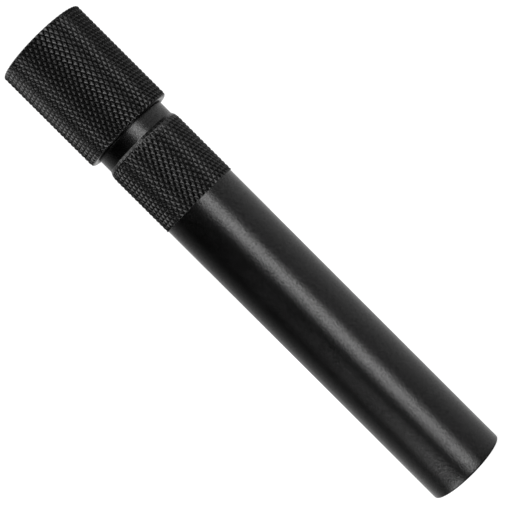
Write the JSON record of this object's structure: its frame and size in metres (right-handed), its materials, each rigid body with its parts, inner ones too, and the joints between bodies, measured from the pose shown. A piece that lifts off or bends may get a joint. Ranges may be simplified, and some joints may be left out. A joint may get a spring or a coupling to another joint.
{
  "type": "knife sharpening steel",
  "caption": "Pocket knife sharpening steel: slim black aluminium handle and knurled head. The inside, with a collet holding an oval diamond-coated rod, is inferred.",
  "frame": {"origin": "centre of the flat tail face, on the axis", "axes": "+Z along the axis from the tail to the knurled head; +X across the wide side of the oval rod"},
  "size_m": [0.0229, 0.0228, 0.134],
  "materials": {
    "handle_anodised": "satin",
    "plug_anodised": "satin",
    "head_anodised": "satin",
    "cushion_rubber": "matte",
    "ring_rubber": "satin",
    "collet_steel": "satin",
    "spring_steel": "satin",
    "shank_steel": "satin",
    "rod_steel": "satin",
    "diamond_grit": "matte",
    "pin_steel": "satin"
  },
  "bodies": {
    "handle": {"handle_tube": "handle_anodised", "tail_plug": "plug_anodised", "tip_cushion": "cushion_rubber", "neck_o_ring": "ring_rubber"},
    "collet_carrier": {"collet": "collet_steel", "collet_clip": "spring_steel"},
    "head": {"knurled_head": "head_anodised"},
    "rod": {"rod_shank": "shank_steel", "steel_rod": "rod_steel", "diamond_plating": "diamond_grit", "shank_pin_1": "pin_steel", "shank_pin_2": "pin_steel"}
  },
  "joints": [
    {"name": "collet_lift", "type": "slide", "parent": "handle", "child": "collet_carrier", "axis": [0, 0, 1], "range_m": [0, 0.0091]},
    {"name": "head_turn", "type": "hinge", "parent": "collet_carrier", "child": "head", "pos_m": [0, 0, 0.12], "axis": [0, 0, 1], "range_deg": [0, 2160]},
    {"name": "rod_draw", "type": "slide", "parent": "handle", "child": "rod", "axis": [0, 0, 1], "range_m": [0, 0.13]}
  ],
  "couplings": [
    {"joint": "collet_lift", "follows": "head_turn", "m_per_rad": 0.00023873}
  ]
}
